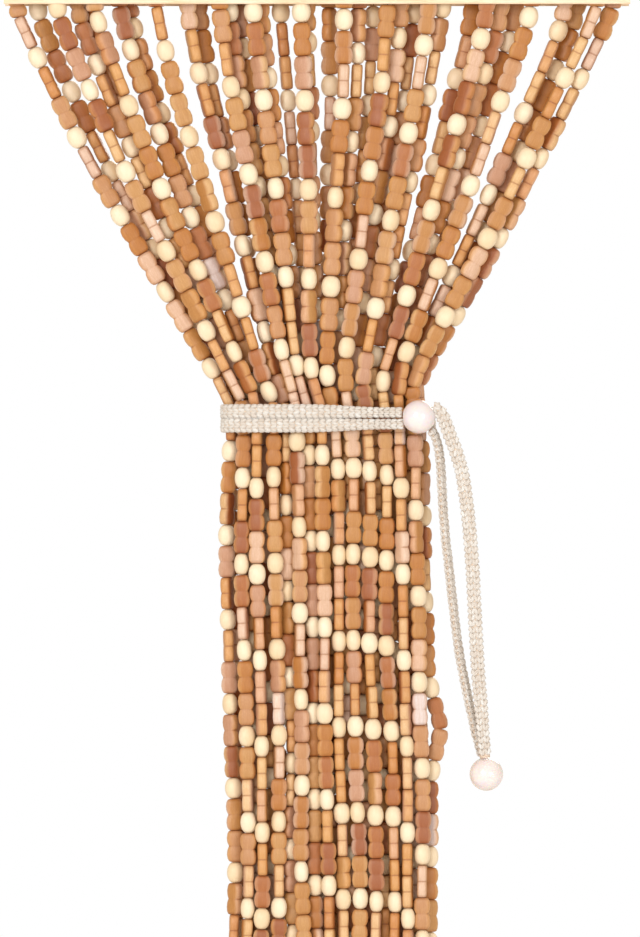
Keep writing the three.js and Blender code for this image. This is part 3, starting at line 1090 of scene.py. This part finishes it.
def best_turn(bead, near, turns):
    """Axes and surface points of the first turn that is clear of the near beads, or meets them least."""
    best = None
    for turn in turns:
        axes = bead.turned(turn)
        mine = bead.place(SAMPLES[bead.kind], axes)
        worst = 0.0
        for other in near:
            worst = max(worst, depth_in(other, other.axes, mine), depth_in(bead, axes, other.points))
            if best is not None and worst >= best[0]:
                break
        if best is None or worst < best[0]:
            best = (worst, axes, mine)
        if worst < CLEAR:
            break
    return best[1:]


def settle_beads():
    """Every bead, from the top down, turned clear of the beads before it where that can be."""
    rng = random.Random(11)
    beads = [Bead(i, *given) for i in range(STRANDS) for given in bead_order(i)]
    beads.sort(key=lambda b: -b.middle[2])
    recent = []
    for bead in beads:
        recent = [o for o in recent if o.middle[2] - o.half > bead.middle[2] - bead.half - NEAR]
        near = [o for o in recent if bead.may_meet(o)]
        bead.axes, bead.points = best_turn(bead, near, turns_to_try(bead, rng))
        recent.append(bead)
    return beads


BEADS = settle_beads()


# Bead pieces
BEAD_MARGIN = 0.05


def bead_piece(name, beads, seed):
    """One mesh of many beads, each with its own tone, tone of painted sheen, grain and cell of the map."""
    rng = np.random.default_rng(seed)
    verts = []
    marks = {"tone": [], "rub": [], "side": [], "stain": [], "grain_place": []}
    # Faces, corner map and slots of the four-cornered faces, and of the triangles.
    kinds = (([], [], []), ([], [], []))
    origin, size = cells(len(beads))
    first = 0
    for n, bead in enumerate(beads):
        points, pale, dark, (quads, tris, quad_uv, tri_uv) = TEMPLATE[bead.kind]
        grow = rng.uniform(*GROWTH[bead.kind])
        verts.append(bead.place(points * np.array([grow, grow, 1.0]), bead.axes))
        marks["tone"].append(np.full(len(points), rng.random()))
        # The tone of the painted sheen, then the masks of painted sheen on the side walls and of painted
        # shade.
        marks["rub"].append(np.full(len(points), rng.random()))
        marks["side"].append(pale)
        marks["stain"].append(dark)
        marks["grain_place"].append(points * np.array([1, 1, bead.half]) / 10 + rng.uniform(-9, 9, 3))
        for (faces, corners, slots), own, uv in zip(kinds, (quads, tris), (quad_uv, tri_uv)):
            faces.append(own + first)
            corners.append(origin[n] + size * inset(uv, BEAD_MARGIN))
            slots.append(np.full(len(own), bead.kind))
        first += len(points)
    return build_mesh(
        name,
        np.vstack(verts),
        [np.vstack(faces) for faces, corners, slots in kinds],
        (GOURD_WOOD, OVAL_WOOD),
        np.vstack(kinds[0][1] + kinds[1][1]),
        np.concatenate(kinds[0][2] + kinds[1][2]),
        **{key: np.concatenate(values) for key, values in marks.items()},
    )


for number, start in enumerate(range(0, STRANDS, 3)):
    members = [b for b in BEADS if start <= b.strand < start + 3]
    piece = bead_piece("beads_%02d" % number, members, 100 + number)
    belongs(piece, None if number else "strands")

# Strings, knots and the strip
STRING_RADIUS = 0.45
STRING_STEP = 22.0
# Drop below the string's last bead and radius there: a knot and a short end.
KNOT = ((0.8, 1.2), (1.8, 1.7), (2.8, 1.2), (3.6, 0.5), (6.0, 0.4))
# The strip's half length and half width, its corners' radius, and each layer's height and growth.
STRIP = (221.0, 13.2)
CORNER = 1.0
STRIP_LAYERS = ((0.0, 0.985), (0.4, 1.0), (1.4, 1.0), (1.8, 0.985))


def tube(line, radius, sides):
    ahead = unit(np.gradient(line, axis=0))
    out = unit(np.cross(ahead, (0.0, 1.0, 0.0)))
    up = np.cross(out, ahead)
    angle = 2 * math.pi * np.arange(sides) / sides
    rings = line[:, None] + radius[:, None, None] * (
        np.cos(angle)[None, :, None] * out[:, None] + np.sin(angle)[None, :, None] * up[:, None]
    )
    return rings.reshape(-1, 3), ring_quads(len(line), sides)


def make_strings():
    verts, faces, tone = [], [], []
    first = 0
    rng = np.random.default_rng(5)
    for i in range(STRANDS):
        top = LINES[i][1][0]
        last = max(b.depth + b.half for b in BEADS if b.strand == i)
        where = np.concatenate([[top], np.arange(0, last + 2, STRING_STEP), [last + 1.0]])
        points = [at(i, w) for w in where]
        points += [points[-1] - np.array([0, 0, drop]) for drop, _ in KNOT]
        radius = [STRING_RADIUS] * len(where) + [r for _, r in KNOT]
        v, f = tube(np.array(points), np.array(radius), 6)
        verts.append(v)
        faces.append(f + first)
        tone.append(np.full(len(v), rng.random()))
        first += len(v)
    verts = np.vstack(verts)
    marks = {"tone": np.concatenate(tone), "grain_place": verts / 2}
    return build_mesh("strings", verts, [np.vstack(faces)], [STRING_YARN], **marks)


def make_strip():
    """The tape in the rail's channel: a thin band with a softened edge."""
    outline = []
    for sx, sy in ((1, 1), (-1, 1), (-1, -1), (1, -1)):
        for k in range(4):
            angle = math.atan2(sy, sx) + math.radians(-45 + 30 * k)
            x = sx * (STRIP[0] - CORNER) + math.cos(angle)
            outline.append((x, sy * (STRIP[1] - CORNER) + math.sin(angle)))
    verts = [
        (x - math.copysign((1 - grow) * 30, x), y * grow, STRIP_BOTTOM + height)
        for height, grow in STRIP_LAYERS
        for x, y in outline
    ]
    n = len(outline)
    ends = np.array([list(range(n))[::-1], [3 * n + s for s in range(n)]])
    return build_mesh("string_strip", np.array(verts), [ring_quads(len(STRIP_LAYERS), n), ends], [STRIP_TAPE])


belongs(make_strings())
belongs(make_strip())

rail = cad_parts["rail"]
rail.data.materials.clear()
rail.data.materials.append(material("rail_wood", rail_wood))

# Floor, light and world, in metres
FLOOR_HEIGHT = -1.30
FLOOR_SIDE, FLOOR_FRONT, FLOOR_BACK = 30, -40, 9
FLOOR_TONES = [(0.3, (0.82, 0.81, 0.8, 1)), (0.7, (0.86, 0.85, 0.84, 1))]
# Name, place, aim, size, power and colour of each soft lamp.
LAMPS = [
    ("key", (-3.4, -7.7, 1.45), (0, 0, -0.5), 3.6, 322, (0.96, 0.985, 1.0)),
    ("fill", (4.6, -7.7, 0.15), (0, 0, -0.4), 2.7, 186, (0.96, 0.99, 1.0)),
    ("back", (1.5, 6.8, 2.6), (0, 0, -0.5), 3.8, 190, (1.0, 0.96, 0.9)),
]
SKY = {"Color": (0.96, 0.85, 0.71, 1), "Strength": 0.82}
SEEN_SKY = {"Color": (1, 1, 1, 1), "Strength": 1.0}


def floor_paint(tree):
    speck = noise(tree, object_place(tree), 60.0, 2.0)
    return {"Base Color": ramp(tree, speck, FLOOR_TONES), "Roughness": 0.9}


def make_floor():
    mesh = bpy.data.meshes.new("floor")
    corners = [(-1, FLOOR_FRONT), (1, FLOOR_FRONT), (1, FLOOR_BACK), (-1, FLOOR_BACK)]
    mesh.from_pydata([(FLOOR_SIDE * side, y, FLOOR_HEIGHT) for side, y in corners], [], [(0, 1, 2, 3)])
    floor = bpy.data.objects.new("floor", mesh)
    scene.collection.objects.link(floor)
    mesh.materials.append(material("floor_pale", floor_paint))


def make_light(name, place, aim, size, power, colour):
    data = bpy.data.lights.new(name, "AREA")
    data.shape = "DISK"
    data.size = size
    data.energy = power
    data.color = colour
    lamp = bpy.data.objects.new(name, data)
    scene.collection.objects.link(lamp)
    lamp.location = place
    way = unit(np.array(aim, float) - np.array(place, float))
    lamp.rotation_euler = (math.acos(-way[2]), 0, math.atan2(way[1], way[0]) - math.pi / 2)
    lamp.visible_camera = False


def make_world():
    world = bpy.data.worlds.new("world")
    scene.world = world
    world.use_nodes = True
    tree = world.node_tree
    tree.nodes.clear()
    seen = put(tree, "LightPath", {}, "Is Camera Ray")
    light, shown = (put(tree, "Background", sky) for sky in (SKY, SEEN_SKY))
    mix = put(tree, "MixShader", {0: seen, 1: light, 2: shown})
    place_node(tree, "OutputWorld", {"Surface": mix})


make_floor()
make_world()
for lamp in LAMPS:
    make_light(*lamp)
scene.view_settings.view_transform = "Standard"
scene.view_settings.look = "None"
